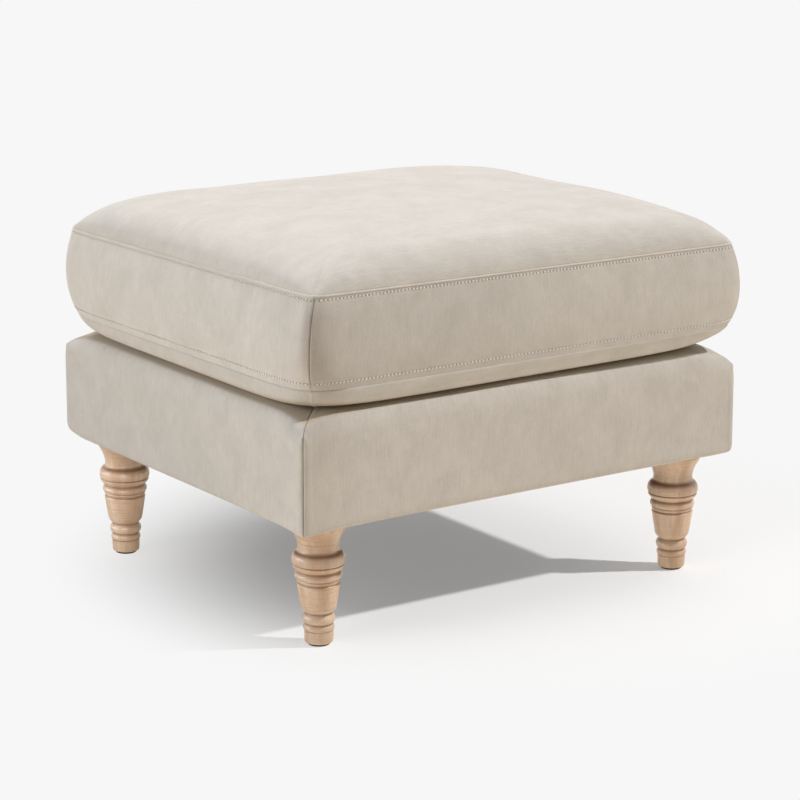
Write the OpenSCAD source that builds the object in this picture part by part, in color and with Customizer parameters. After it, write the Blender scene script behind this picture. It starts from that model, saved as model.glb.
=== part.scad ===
// Upholstered footstool: a sprung base on four turned legs, with a loose boxed cushion.
// Millimetres. The origin is on the floor under the middle of the stool, +Z up, the front faces -Y.

/* [Base] */
// Width of the upholstered base, left to right
base_w = 625; // [560:1:700]
// Depth of the upholstered base, front to back
base_d = 540; // [480:1:620]
// Height of the base's upright sides
wall_h = 110; // [95:1:130]
// Rise of the deck from the top of the sides to its level middle
deck_rise = 24; // [14:1:34]
// Rounding of the base's upright corners
corner_r = 8; // [5:0.5:12]
// Rounding of the base's bottom edge
bottom_r = 6; // [4:0.5:8]
// Width of the rounded shoulder at the top of the sides
shoulder_w = 10; // [6:0.5:16]
// Share of the deck's rise that the shoulder makes
shoulder_share = 0.73; // [0.4:0.01:0.85]
// Distance in from the sides at which the deck is level
deck_run = 40; // [32:1:56]
// Share of the deck's rise that is missing right at the corners
corner_fall = 0.45; // [0:0.01:0.6]
// Distance from a corner over which the deck falls away
corner_run = 60; // [40:1:70]
// Width of the base cover on top of the deck, out to the deck cloth
deck_border = 75; // [71:1:90]

/* [Cushion] */
// Height of the cushion's border, from its bottom fold to its top seam
border_h = 102; // [70:1:130]
// Height of the bottom fold above the top of the base's sides
fold_lift = 49.5; // [42:0.5:60]
// Inset of the top seam from the base's sides
seam_inset = 6; // [4:0.5:12]
// Inset of the bottom fold from the base's sides
fold_inset = 4.2; // [3:0.2:10]
// Outward swell of the border between its seams
border_swell = 5.2; // [1:0.2:5.4]
// Lean of the swell towards the top seam, 1 for none
swell_skew = 2.3; // [1:0.1:3]
// Rise of the crowned top above its seam
crown_h = 47; // [25:1:60]
// Width of the crown's steep edge
crown_edge = 47; // [30:1:70]
// Share of the crown's rise that the steep edge makes
crown_share = 0.6; // [0.4:0.01:0.75]
// Distance in from the seam at which the crown is level
crown_run = 150; // [110:1:180]
// Rounding of the top seam's corners, seen from above
seam_r = 18; // [10:1:30]
// Rounding of the bottom fold's corners, seen from above
fold_r = 48; // [25:1:60]
// Rounding of the corners of the cushion's flat underside
rest_r = 30; // [15:1:50]
// Inset of the cushion's flat underside from the base's sides
rest_inset = 28; // [22:1:34]
// Gap between the cushion and the deck
rest_gap = 0.3; // [0.2:0.1:1]

/* [Cloth and padding] */
// Thickness of the upholstery cloth
cloth_t = 1.2; // [0.8:0.1:2]
// Thickness of the wadding over the rails
wadding_t = 5; // [3:0.5:8]
// Height of the deck foam's upright edge
foam_edge_h = 19.2; // [14:0.1:26]
// Thickness of the cloth over the springs
spring_cloth_t = 0.8; // [0.5:0.1:1.5]
// Thickness of the dust cover
dust_t = 0.6; // [0.4:0.1:1]
// Inset of the dust cover's edge from the base's sides
dust_inset = 12; // [10:0.5:15]
// Width of the covers' hems under the rails
hem_w = 28; // [20:1:30]

/* [Frame] */
// Thickness of the rails
rail_t = 22; // [19:1:28]
// Length of a corner block along each rail
block_w = 88; // [80:1:110]
// Height of the corner blocks
block_h = 30; // [24:1:40]
// Flat width left at a corner block's two tips
block_tip = 12; // [6:1:16]

/* [Legs] */
// Height of the base's underside above the floor
leg_h = 150; // [140:1:190]
// Inset of the leg centres from the left and right sides
leg_inset_x = 52.5; // [48:0.5:60]
// Inset of the leg centres from the front and back
leg_inset_y = 50; // [47:0.5:58]
// Radius of the leg's top
leg_top_r = 36; // [31:0.5:38]
// Height of the upright band at the leg's top
top_band_h = 7; // [4:0.5:12]
// Height of the flare under the band
flare_h = 25.4; // [18:0.2:32]
// Height of the neck between flare and rings
neck_h = 4; // [2:0.5:8]
// Radius of the neck
neck_r = 23.8; // [21:0.1:25]
// Height of the two rings together
rings_h = 24; // [18:0.5:30]
// Radius of the rings
ring_r = 30.4; // [27:0.1:34]
// Depth of the groove between the rings
groove_depth = 1.7; // [0.8:0.1:3]
// Half the width of that groove
groove_w = 2; // [1.2:0.1:3]
// Height of the collar bead under the rings
collar_h = 13; // [9:0.5:18]
// Radius of the collar bead
collar_r = 27.4; // [25.5:0.1:30]
// Radius of the vase where it is widest
vase_r = 25.2; // [24:0.1:28]
// Radius of the vase at its foot
vase_foot_r = 21.2; // [18:0.1:23]
// Height of the ankle between vase and main bead
ankle_h = 3.9; // [2:0.1:7]
// Radius of the ankle
ankle_r = 16.6; // [14:0.1:17.5]
// Height of the main bead
bead_h = 9.5; // [6:0.5:13]
// Radius of the main bead
bead_r = 19.4; // [18:0.1:22]
// Height between the two beads
bead_gap_h = 3.5; // [2:0.5:6]
// Height of the small bead
small_bead_h = 6; // [4:0.5:9]
// Radius of the small bead
small_bead_r = 18.2; // [17.6:0.1:20]
// Height of the foot
foot_h = 12; // [9:0.5:16]
// Radius of the foot
foot_r = 16.8; // [15:0.1:17.5]
// Radius of the glide under the foot
glide_r = 13; // [9:0.5:13.5]
// Thickness of the glide
glide_h = 2.5; // [1.5:0.5:4]

/* [Fixings] */
// Radius of the hanger bolts
bolt_r = 4; // [3:0.5:5]
// Depth of the hanger bolts in the legs
bolt_depth = 38; // [28:1:50]
// Length of the hanger bolts' ends above the tee nuts
bolt_end = 5; // [2:0.5:10]
// Radius of the tee nuts' flanges
nut_flange_r = 11; // [9:0.5:14]
// Thickness of the tee nuts' flanges
nut_flange_t = 1.6; // [1:0.1:2.5]
// Radius of the tee nuts' barrels
nut_barrel_r = 5.6; // [5.5:0.1:7]
// Length of the tee nuts' barrels
nut_barrel_h = 11; // [8:0.5:14]
// Radius of the wood screws
screw_r = 2.1; // [1.5:0.1:2.6]
// Radius of the wood screws' heads
screw_head_r = 4.2; // [3.5:0.1:5]
// Length of the screws' points
screw_tip = 5; // [3:0.5:8]
// Length of the screws that join the rails
rail_screw_l = 60; // [45:1:75]
// Length of the screws that hold the corner blocks
block_screw_l = 32; // [27:1:36]
// Thickness of corner block between those screws' heads and the rail
block_grip = 16; // [13:0.5:18]
// Least depth of those screws' heads in the block
head_sink = 2; // [1:0.5:4]
// Clearance round a fixing in its hole
hole_gap = 0.05; // [0.03:0.01:0.1]
// Width of the staples
staple_w = 10; // [6:1:12]
// Thickness of the staples' wire
staple_wire = 1; // [0.6:0.1:1.4]
// Length of the staples' prongs
staple_l = 9; // [6:0.5:12]
// Widest distance between staples
staple_pitch = 60; // [40:1:90]

/* [Springs] */
// Distance between the springs
spring_pitch = 100; // [80:1:104]
// Radius of the spring wire
wire_r = 1.8; // [1.5:0.1:2.2]
// Width of a spring between the middles of its bends
spring_w = 46; // [42:1:54]
// Number of bends along a spring
bend_n = 20; // [18:2:24]
// Distance from a rail to the spring bar that its clip holds
clip_reach = 8; // [6:0.5:12]
// Width of a spring clip
clip_w = 16; // [12:1:18]
// Thickness of the clips' steel
clip_t = 1; // [0.8:0.1:1.5]
// Length of a clip's plate below its eye
clip_drop = 14; // [12:0.5:20]
// Distance of a clip's nail below its eye
nail_drop = 9; // [7:0.5:10]
// Radius of the nails
nail_r = 1.2; // [0.9:0.1:1.5]
// Radius of the nails' heads
nail_head_r = 2.8; // [2:0.1:3.4]
// Thickness of the nails' heads
nail_head_t = 0.9; // [0.6:0.1:1.2]
// Length of the nails in the clips
nail_l = 16; // [12:1:18]
// Length of the glides' nails
glide_nail_l = 12; // [9:1:18]

/* [Zip] */
// Length of the zip
zip_l = 480; // [400:5:500]
// Height of the slot for the zip in the back border
zip_slot = 6; // [5:0.5:8]
// Width of the zip's coil
coil_w = 4; // [3:0.5:4.5]
// Distance that the coil stands out of the border
coil_proud = 0.6; // [0.5:0.1:1.2]
// Length of the zip's slider
slider_l = 10; // [8:0.5:14]
// Thickness of the slider's walls
slider_t = 0.8; // [0.7:0.1:1.2]
// Running clearance between slider and zip
slider_gap = 0.3; // [0.2:0.05:0.4]

/* [Hidden] */

spring_count = 5;
// Small shapes of the turned legs and glides
foot_edge = 3.5;
glide_edge = 0.6;
vase_step_h = 5.6;
vase_lip_h = 5;
vase_swell = 0.3;
fillet_h = 1.5;
fillet_step = 0.7;
top_edge = 1;

// Half sizes and main heights
half_w = base_w / 2;
half_d = base_d / 2;
side_top = leg_h + wall_h;
deck_z = side_top + deck_rise;
fold_z = side_top + fold_lift;
seam_z = fold_z + border_h;
// The frame inside the covers
bottom_round = min(bottom_r, cloth_t + wadding_t);
rail_out = cloth_t + wadding_t;
rail_in = rail_out + rail_t;
rail_z = leg_h + cloth_t;
foam_z = side_top - foam_edge_h;
rail_top = foam_z - spring_cloth_t;
rail_h = rail_top - rail_z;
rail_x = half_w - rail_in;
rail_y = half_d - rail_in;
leg_x = half_w - leg_inset_x;
leg_y = half_d - leg_inset_y;
leg_top = leg_h - dust_t;
block_top = rail_z + block_h;

wood_tone = "#BBA089";
frame_tone = "#C9B08C";
cloth_tone = "#CDC4B8";
foam_tone = "#E9E2C8";
fibre_tone = "#F4F2EC";
steel_tone = "#9A9C9E";
dark_tone = "#2B2A29";

// Rings of points: rounded rectangles with the same number of points on every side

corner_steps = 2;
side_marks = [-0.88, -0.55, 0, 0.55, 0.88];
side_points = 2 * corner_steps + 1 + len(side_marks);

// Front side of a ring, from the middle of its left corner to just before the middle of its right one
function ring_side(l, o, r) = concat(
  [for (i = [0 : corner_steps]) let (t = 225 + 45 * i / corner_steps)
    [r - l + r * cos(t), r - o + r * sin(t)]],
  [for (s = side_marks) [s * (l - r), -o]],
  [for (i = [0 : corner_steps - 1]) let (t = 270 + 45 * i / corner_steps)
    [l - r + r * cos(t), r - o + r * sin(t)]]
);

function quarter_turn(p, k) = k == 0 ? p : quarter_turn([-p.y, p.x], k - 1);

// Whole ring, counter-clockwise seen from above
function ring(a, b, r) = [for (k = [0 : 3]) each [
  for (p = ring_side(k % 2 == 0 ? a : b, k % 2 == 0 ? b : a, r)) quarter_turn(p, k)]];

function ring_at(a, b, r, z) = [for (p = ring(a, b, r)) [p.x, p.y, z]];

// Share of a crowned surface's full rise at a distance d in from its edge
function rise(d, edge, share, run) =
  share * sqrt(1 - pow(1 - min(d / edge, 1), 2)) + (1 - share) * (1 - pow(1 - min(d / run, 1), 2));

// Larger of a point's two distances in from the sides
function far_side(p, a, b) = max(a - abs(p.x), b - abs(p.y));

// Base cover: one ring of its surface, or of a surface at depth o behind it

function base_ring(d, z, nx, nz, o) =
  ring_at(half_w - d - o * nx, half_d - d - o * nx, corner_r - o * nx, z - o * nz);

function deck_height(d, m) = side_top + deck_rise * rise(d, shoulder_w, shoulder_share, deck_run)
  * (1 - corner_fall * pow(1 - min(m / corner_run, 1), 1.5));

function deck_ring(d, o) = let (
  nx = max(0, 1 - d / shoulder_w),
  nz = sqrt(1 - nx * nx),
  face = ring(half_w - d, half_d - d, corner_r),
  back = ring(half_w - d - o * nx, half_d - d - o * nx, corner_r - o * nx)
) [for (i = [0 : len(face) - 1])
  [back[i].x, back[i].y, deck_height(d, far_side(face[i], half_w, half_d)) - o * nz]];

hem_turns = [0, 45, 90];
deck_insets = [0, 0.15 * shoulder_w, 0.5 * shoulder_w, shoulder_w, 0.5 * (shoulder_w + rest_inset),
  rest_inset, 0.5 * (rest_inset + corner_run), deck_border];

function hem_rows(o) = concat(
  [base_ring(bottom_round + hem_w, leg_h, 0, -1, o)],
  [for (t = hem_turns)
    base_ring(bottom_round * (1 - sin(t)), leg_h + bottom_round * (1 - cos(t)), sin(t), -cos(t), o)]
);

function deck_rows(o) = [for (d = deck_insets) deck_ring(d, o)];

// Cushion: its border between fold and seam, its crown above and its roll below

slot_share = zip_slot / border_h;
border_shares = [0, 0.25, 0.5 - slot_share / 2, 0.5 + slot_share / 2, 0.75, 0.9, 1];

function border_inset(t) = fold_inset + (seam_inset - fold_inset) * t
  - border_swell * sin(180 * pow(t, swell_skew));

function border_row(t, o) = let (i = border_inset(t) + o)
  ring_at(half_w - i, half_d - i, fold_r + (seam_r - fold_r) * t - o, fold_z + border_h * t);

seam_a = half_w - seam_inset;
seam_b = half_d - seam_inset;
crown_insets = [0, 0.06 * crown_edge, 0.2 * crown_edge, 0.5 * crown_edge, crown_edge,
  0.5 * (crown_edge + crown_run), crown_run];

function crown_row(d, o) = let (
  nx = max(0, 1 - d / crown_edge),
  nz = sqrt(1 - nx * nx),
  face = ring(seam_a - d, seam_b - d, seam_r),
  back = ring(seam_a - d - o * nx, seam_b - d - o * nx, seam_r - o * nx)
) [for (i = [0 : len(face) - 1]) [back[i].x, back[i].y, seam_z - o * nz + crown_h
  * rise(d, crown_edge, crown_share, crown_run)
  * rise(far_side(face[i], seam_a, seam_b), crown_edge, crown_share, crown_run)]];

roll_turns = [90, 60, 30, 0];

function roll_row(t, o) = let (
  under = ring_at(half_w - rest_inset, half_d - rest_inset, rest_r, deck_z + rest_gap + o),
  fold = border_row(0, o)
) [for (i = [0 : len(fold) - 1]) let (f = fold[i], u = under[i])
  [f.x + (u.x - f.x) * (1 - cos(t)), f.y + (u.y - f.y) * (1 - cos(t)), f.z + (u.z - f.z) * sin(t)]];

function roll_rows(o) = [for (t = roll_turns) roll_row(t, o)];
function border_rows(first, last, o) = [for (i = [first : last]) border_row(border_shares[i], o)];
function crown_rows(o) = [for (d = crown_insets) crown_row(d, o)];

// Points of rows on side k of the stool only: 0 front, 1 right, 2 back, 3 left
function on_side(rows, k) = [for (row = rows)
  [for (j = [k * side_points : (k + 1) * side_points]) row[j % len(row)]]];

// Faces of a grid of m rows, n points each; the last point of a row meets the first if it is closed
function grid_faces(m, n, closed, start, outward) = [
  for (i = [0 : m - 2], j = [0 : n - (closed ? 1 : 2)]) let (
    a = start + i * n + j,
    b = start + i * n + (j + 1) % n,
    c = b + n,
    d = a + n
  ) each (outward ? [[a, c, b], [a, d, c]] : [[a, b, c], [a, c, d]])];

// Faces that join the edge of one grid to the same edge of the other, k points further on
function edge_faces(edge, k) = [for (e = edge) each [[e[0], e[1], e[1] + k], [e[0], e[1] + k, e[0] + k]]];

// Panel of cloth between two open grids of points, the first one on its outer face
module panel(outer, inner) {
  m = len(outer);
  n = len(outer[0]);
  k = m * n;
  edges = concat(
    [for (j = [0 : n - 2]) [j, j + 1]],
    [for (j = [0 : n - 2]) [k - n + j + 1, k - n + j]],
    [for (i = [0 : m - 2]) [(i + 1) * n, i * n]],
    [for (i = [0 : m - 2]) [(i + 1) * n - 1, (i + 2) * n - 1]]
  );
  polyhedron(
    points = concat([for (row = outer) each row], [for (row = inner) each row]),
    faces = concat(grid_faces(m, n, false, 0, true), grid_faces(m, n, false, k, false), edge_faces(edges, k))
  );
}

// Bowl or lid of cloth between two closed grids, with its flat middle at the last row or at the first
module lid(outer, inner, flat_last) {
  m = len(outer);
  n = len(outer[0]);
  k = m * n;
  rim = flat_last ? 0 : k - n;
  flat = flat_last ? k - n : 0;
  edges = [for (j = [0 : n - 1]) let (e = [rim + j, rim + (j + 1) % n]) flat_last ? e : [e[1], e[0]]];
  up = [for (j = [n - 1 : -1 : 0]) flat + j];
  down = [for (j = [0 : n - 1]) flat + j];
  polyhedron(
    points = concat([for (row = outer) each row], [for (row = inner) each row]),
    faces = concat(
      grid_faces(m, n, true, 0, true),
      grid_faces(m, n, true, k, false),
      edge_faces(edges, k),
      [flat_last ? up : down],
      [[for (v = flat_last ? down : up) v + k]]
    )
  );
}

// Solid filling between rows of points, flat at the first and the last
module filling(rows) {
  m = len(rows);
  n = len(rows[0]);
  polyhedron(
    points = [for (row = rows) each row],
    faces = concat(
      grid_faces(m, n, true, 0, true),
      [[for (j = [0 : n - 1]) j]],
      [[for (j = [n - 1 : -1 : 0]) (m - 1) * n + j]]
    )
  );
}

// Fixings: each solid's outline is also its hole's, grown by a clearance

module wood_screw(l, g = 0) {
  rotate_extrude($fn = 24) polygon([
    [0, 0], [screw_head_r + g, 0], [screw_r + g, screw_head_r - screw_r],
    [screw_r + g, l - screw_tip + g], [0, l + g]]);
}

module at_rail_screws(sx, sy) {
  for (share = [0.25, 0.75])
    translate([sx * (rail_x + rail_t / 2), sy * (half_d - rail_out), rail_z + share * rail_h])
      rotate([sy * 90, 0, 0]) children();
}

// Place along a rail, from the inner corner, at which a block screw's head is sunk in its block
block_screw_at = block_w + block_tip - block_grip - screw_head_r - head_sink;

module at_block_screws(sx, sy) {
  translate([sx * (rail_x - block_screw_at), sy * (rail_y - block_grip), rail_z + block_h / 2])
    rotate([-sy * 90, 0, 0]) children();
  translate([sx * (rail_x - block_grip), sy * (rail_y - block_screw_at), rail_z + block_h / 2])
    rotate([0, sx * 90, 0]) children();
}

spring_z = rail_top - wire_r - hole_gap - clip_t - 0.5;
spring_run = 2 * (rail_y - clip_reach);
bend_r = spring_run / bend_n / 2;
bar_half = spring_w / 2 - bend_r;
function spring_x(i) = (i - (spring_count + 1) / 2) * spring_pitch;

module nail(g = 0) {
  rotate_extrude($fn = 24) polygon([
    [0, -nail_head_t], [nail_head_r, -nail_head_t], [nail_head_r, 0], [nail_r + g, 0],
    [nail_r + g, nail_l - 2 * nail_r + g], [0, nail_l + g]]);
}

module at_nails(sy) {
  for (i = [1 : spring_count])
    translate([spring_x(i), sy * (rail_y - clip_t), spring_z - nail_drop]) rotate([-sy * 90, 0, 0]) children();
}

module hanger_bolt(g = 0) {
  z0 = leg_top - bolt_depth;
  z1 = block_top + nut_flange_t + bolt_end;
  translate([0, 0, z0 - g]) cylinder(h = z1 - z0 + g, r = bolt_r + g, $fn = 32);
}

// Leg: turned sections stacked from the glide up, the vase taking what the others leave

foot_z = glide_h;
small_bead_z = foot_z + foot_h;
gap_z = small_bead_z + small_bead_h;
bead_z = gap_z + bead_gap_h;
ankle_z = bead_z + bead_h;
vase_z = ankle_z + ankle_h;
band_z = leg_top - top_band_h;
flare_z = band_z - flare_h;
ring_z = flare_z - neck_h - rings_h;
collar_z = ring_z - collar_h;

// Half-round moulding from z0 up: base radius r, crest radius crest
function bead(z0, h, r, crest, marks) = [for (t = marks)
  [r + (crest - r) * sin(t), z0 + h * (1 - cos(t)) / 2]];

half_marks = [0 : 15 : 180];
ring_marks = [0, 15, 30, 45, 60, 72, 82, 90, 98, 108, 120, 135, 150, 165, 180];

function ring_profile() = [for (p = bead(ring_z, rings_h, neck_r, ring_r, ring_marks))
  let (from_groove = abs(p.y - ring_z - rings_h / 2))
  [p.x - groove_depth * max(0, 1 - from_groove / groove_w), p.y]];

vase_top_z = collar_z - vase_lip_h;
vase_foot_z = vase_z + vase_step_h;

function leg_profile() = concat(
  [[0, foot_z]],
  [for (t = [0 : 22.5 : 90]) [foot_r - foot_edge * (1 - sin(t)), foot_z + foot_edge * (1 - cos(t))]],
  bead(small_bead_z, small_bead_h, ankle_r, small_bead_r, half_marks),
  bead(bead_z, bead_h, ankle_r, bead_r, half_marks),
  [for (t = [15 : 15 : 90])
    [ankle_r + (vase_foot_r - ankle_r) * (0.25 + 0.75 * sin(t)), vase_z + vase_step_h * t / 90]],
  [for (v = [0.125 : 0.125 : 1])
    [vase_foot_r + (vase_r - vase_foot_r) * v + vase_swell * sin(180 * v),
      vase_foot_z + (vase_top_z - vase_foot_z) * v]],
  [for (t = [30, 60, 80])
    [neck_r + (vase_r - neck_r) * cos(t), vase_top_z + vase_lip_h * sin(t)]],
  bead(collar_z, collar_h - fillet_h, neck_r, collar_r, half_marks),
  [[neck_r + fillet_step, ring_z - fillet_h], [neck_r + fillet_step, ring_z]],
  ring_profile(),
  [for (s = [0 : 0.125 : 1])
    [neck_r + (leg_top_r - neck_r) * pow(s, 1.6), flare_z + flare_h * s]],
  [[leg_top_r, leg_top - top_edge], [leg_top_r - top_edge, leg_top], [0, leg_top]]
);

module leg(sx, sy) {
  color(wood_tone) translate([sx * leg_x, sy * leg_y, 0]) difference() {
    rotate_extrude($fn = 64) polygon(leg_profile());
    hanger_bolt(hole_gap);
    translate([0, 0, -1]) cylinder(h = 1 + glide_h + glide_nail_l + hole_gap, r = nail_r + hole_gap, $fn = 24);
  }
}

module glide(sx, sy) {
  color(dark_tone) translate([sx * leg_x, sy * leg_y, 0]) rotate_extrude($fn = 48) polygon([
    [0, 0], [glide_r - glide_edge, 0], [glide_r, glide_edge], [glide_r, glide_h], [nail_r, glide_h],
    [nail_r, glide_h + glide_nail_l - nail_r], [0, glide_h + glide_nail_l]]);
}

module hanger_bolts() {
  color(steel_tone) for (sx = [-1, 1], sy = [-1, 1]) translate([sx * leg_x, sy * leg_y, 0]) hanger_bolt();
}

module tee_nuts() {
  color(steel_tone) for (sx = [-1, 1], sy = [-1, 1]) translate([sx * leg_x, sy * leg_y, block_top])
    rotate_extrude($fn = 32) polygon([
      [bolt_r + hole_gap, -nut_barrel_h], [nut_barrel_r, -nut_barrel_h], [nut_barrel_r, 0],
      [nut_flange_r, 0], [nut_flange_r, nut_flange_t], [bolt_r + hole_gap, nut_flange_t]]);
}

module corner_block(sx, sy) {
  color(frame_tone) difference() {
    mirror([sx > 0 ? 1 : 0, 0, 0]) mirror([0, sy > 0 ? 1 : 0, 0]) translate([-rail_x, -rail_y, rail_z])
      linear_extrude(block_h)
        polygon([[0, 0], [block_w, 0], [block_w, block_tip], [block_tip, block_w], [0, block_w]]);
    translate([sx * leg_x, sy * leg_y, 0]) {
      hanger_bolt(hole_gap);
      translate([0, 0, block_top - nut_barrel_h - hole_gap])
        cylinder(h = nut_barrel_h + 1, r = nut_barrel_r + hole_gap, $fn = 32);
    }
    at_block_screws(sx, sy) {
      wood_screw(block_screw_l, hole_gap);
      translate([0, 0, -block_w]) cylinder(h = block_w, r = screw_head_r + hole_gap, $fn = 24);
    }
  }
}

module long_rail(sy) {
  color(frame_tone) difference() {
    translate([rail_out - half_w, sy > 0 ? rail_y : -rail_y - rail_t, rail_z])
      cube([base_w - 2 * rail_out, rail_t, rail_h]);
    for (sx = [-1, 1]) {
      at_rail_screws(sx, sy) wood_screw(rail_screw_l, hole_gap);
      at_block_screws(sx, sy) wood_screw(block_screw_l, hole_gap);
    }
    at_nails(sy) cylinder(h = nail_l + hole_gap, r = nail_r + hole_gap, $fn = 24);
  }
}

module short_rail(sx) {
  color(frame_tone) difference() {
    translate([sx > 0 ? rail_x : -rail_x - rail_t, -rail_y, rail_z]) cube([rail_t, 2 * rail_y, rail_h]);
    for (sy = [-1, 1]) {
      at_rail_screws(sx, sy) wood_screw(rail_screw_l, hole_gap);
      at_block_screws(sx, sy) wood_screw(block_screw_l, hole_gap);
    }
  }
}

module rail_screws() {
  color(steel_tone) for (sx = [-1, 1], sy = [-1, 1]) at_rail_screws(sx, sy) wood_screw(rail_screw_l);
}

module block_screws() {
  color(steel_tone) for (sx = [-1, 1], sy = [-1, 1]) at_block_screws(sx, sy) wood_screw(block_screw_l);
}

// Zigzag spring: straight bars joined by half-turn bends, left and right in turn
module spring(i) {
  color(steel_tone) translate([spring_x(i), -spring_run / 2, spring_z]) {
    for (k = [0 : bend_n]) translate([-bar_half, 2 * bend_r * k, 0]) rotate([0, 90, 0])
      cylinder(h = 2 * bar_half, r = wire_r, $fn = 16);
    for (k = [0 : bend_n - 1]) let (s = k % 2 == 0 ? 1 : -1)
      translate([s * bar_half, 2 * bend_r * (k + 0.5), 0]) rotate([0, 0, -90 * s])
        rotate_extrude(angle = 180, $fn = 24) translate([bend_r, 0]) circle(r = wire_r, $fn = 16);
  }
}

// Spring clip: a plate nailed to the rail, with an eye that holds the spring's end bar
module spring_clip(i, sy) {
  eye_r = wire_r + hole_gap;
  difference() {
    translate([spring_x(i) - clip_w / 2, sy * rail_y, spring_z]) mirror([0, sy > 0 ? 1 : 0, 0])
      rotate([90, 0, 90]) linear_extrude(clip_w) difference() {
        union() {
          translate([0, -clip_drop]) square([clip_t, clip_drop + eye_r + clip_t]);
          translate([0, eye_r]) square([clip_reach, clip_t]);
          translate([clip_reach, 0]) circle(r = eye_r + clip_t, $fn = 32);
        }
        translate([clip_reach, 0]) circle(r = eye_r, $fn = 32);
      }
    translate([spring_x(i), sy * (rail_y - 2 * clip_t), spring_z - nail_drop]) rotate([-sy * 90, 0, 0])
      cylinder(h = 4 * clip_t, r = nail_r + hole_gap, $fn = 24);
  }
}

module spring_clips() {
  color(steel_tone) for (i = [1 : spring_count], sy = [-1, 1]) spring_clip(i, sy);
}

module clip_nails() {
  color(steel_tone) for (sy = [-1, 1]) at_nails(sy) nail();
}

module spring_cloth() {
  color("#B9A98A") translate([rail_out - half_w, rail_out - half_d, rail_top])
    cube([base_w - 2 * rail_out, base_d - 2 * rail_out, spring_cloth_t]);
}

module deck_foam() {
  color(foam_tone) filling(concat(
    [ring_at(half_w - cloth_t, half_d - cloth_t, corner_r - cloth_t, foam_z)], deck_rows(cloth_t)));
}

// Strip of wadding over one rail, between the rounded corners of the cover
module wadding(k) {
  l = (k % 2 == 0 ? half_w : half_d) - corner_r - bottom_round;
  o = (k % 2 == 0 ? half_d : half_w) - cloth_t;
  z0 = leg_h + bottom_round + cloth_t;
  color(fibre_tone) rotate([0, 0, 90 * k]) translate([-l, -o, z0]) cube([2 * l, wadding_t, foam_z - z0]);
}

module base_cover(k) {
  color(cloth_tone) panel(
    on_side(concat(hem_rows(0), deck_rows(0)), k),
    on_side(concat(hem_rows(cloth_t), deck_rows(cloth_t)), k));
}

module deck_cloth() {
  color("#B7AFA3") translate([0, 0, deck_z - cloth_t]) linear_extrude(cloth_t)
    polygon(ring(half_w - deck_border, half_d - deck_border, corner_r));
}

module dust_cover() {
  color("#3A3836") difference() {
    translate([dust_inset - half_w, dust_inset - half_d, leg_top])
      cube([base_w - 2 * dust_inset, base_d - 2 * dust_inset, dust_t]);
    for (sx = [-1, 1], sy = [-1, 1]) translate([sx * leg_x, sy * leg_y, 0]) hanger_bolt(hole_gap);
  }
}

// Staple: a crown under the dust cover with two prongs up into the rail
module staple() {
  translate([-staple_w / 2, -staple_wire / 2, -staple_wire]) {
    cube([staple_w, staple_wire, staple_wire]);
    for (x = [0, staple_w - staple_wire])
      translate([x, 0, staple_wire]) cube([staple_wire, staple_wire, staple_l]);
  }
}

// Staples in a row between the legs on one side, evenly spaced
module staple_row(k) {
  leg_room = (k % 2 == 0 ? leg_inset_x : leg_inset_y) + leg_top_r + staple_w;
  l = (k % 2 == 0 ? half_w : half_d) - leg_room;
  o = (k % 2 == 0 ? half_d : half_w) - rail_in + rail_t / 2;
  n = ceil(2 * l / staple_pitch);
  rotate([0, 0, 90 * k]) for (i = [0 : n]) translate([-l + 2 * l * i / n, -o, leg_top]) staple();
}

module staples() {
  color(steel_tone) for (k = [0 : 3]) staple_row(k);
}

module cushion_top_panel() {
  color("#E2DCD4") lid(crown_rows(0), crown_rows(cloth_t), true);
}

module cushion_bottom_panel() {
  color("#C3B5A6") lid(roll_rows(0), roll_rows(cloth_t), false);
}

module cushion_border(k, first, last) {
  color(cloth_tone) panel(on_side(border_rows(first, last, 0), k), on_side(border_rows(first, last, cloth_t), k));
}

module foam_core() {
  color(foam_tone) filling(border_rows(0, border_last, cloth_t));
}

module fibre_top() {
  color(fibre_tone) filling(crown_rows(cloth_t));
}

module fibre_bottom() {
  color(fibre_tone) filling(roll_rows(cloth_t));
}

// Zip: it closes the slot in the back border, and end tabs close the slot beyond it

border_last = len(border_shares) - 1;
slot_low = 2;
slot_high = 3;
zip_y = [for (i = [slot_low, slot_high]) half_d - border_inset(border_shares[i])];
zip_z = [for (i = [slot_low, slot_high]) fold_z + border_h * border_shares[i]];
zip_lean = atan((zip_y[1] - zip_y[0]) / (zip_z[1] - zip_z[0]));

module slot_strip() {
  panel(on_side(border_rows(slot_low, slot_high, 0), 2), on_side(border_rows(slot_low, slot_high, cloth_t), 2));
}

module zip_block() {
  translate([-zip_l / 2, half_d / 2, fold_z]) cube([zip_l, half_d, border_h]);
}

module zip_tape() {
  color(dark_tone) intersection() {
    slot_strip();
    zip_block();
  }
}

module zip_end_tabs() {
  color(cloth_tone) difference() {
    slot_strip();
    zip_block();
  }
}

// Frame of the zip's cross-section: out of the border along +X, up along +Y, extruded along the zip
module along_zip(l) {
  translate([l / 2, (zip_y[0] + zip_y[1]) / 2, (zip_z[0] + zip_z[1]) / 2])
    rotate([90, 0, -90]) rotate([0, 0, 180 + zip_lean]) mirror([0, 1, 0]) linear_extrude(l) children();
}

module zip_coil() {
  color(dark_tone) along_zip(zip_l) translate([0, -coil_w / 2]) square([coil_proud, coil_w]);
}

module zip_slider() {
  inner_w = coil_w + 2 * slider_gap;
  plate_x = coil_proud + slider_gap;
  color(steel_tone) translate([(zip_l - slider_l) / 2, 0, 0]) along_zip(slider_l) difference() {
    translate([slider_gap, -inner_w / 2 - slider_t]) square([coil_proud + slider_t, inner_w + 2 * slider_t]);
    translate([0, -inner_w / 2]) square([plate_x, inner_w]);
  }
}

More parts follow.
